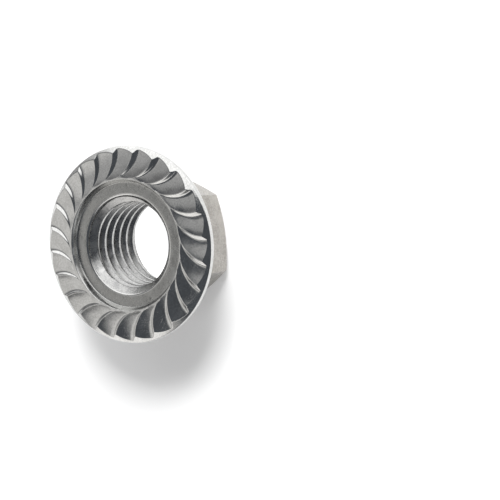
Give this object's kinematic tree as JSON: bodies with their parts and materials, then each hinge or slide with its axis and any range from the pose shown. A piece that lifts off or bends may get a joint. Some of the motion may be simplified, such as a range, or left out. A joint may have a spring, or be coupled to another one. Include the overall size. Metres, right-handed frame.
{
  "type": "serrated flange nut",
  "caption": "Hexagon nut with a broad round flange, swept locking serrations on its bearing face and a countersunk threaded hole, for clamping a joint without a loose washer.",
  "frame": {"origin": "centre of the hexagon's end face, on the thread's axis", "axes": "+Z along the thread's axis to the serrated face, +X through a corner of the hexagon"},
  "size_m": [0.02, 0.02, 0.0089],
  "materials": {
    "stainless_steel": "bright tumbled stainless steel, satin on the hexagon's flats"
  },
  "bodies": {
    "root": {"flange_nut": "stainless_steel"}
  },
  "joints": []
}
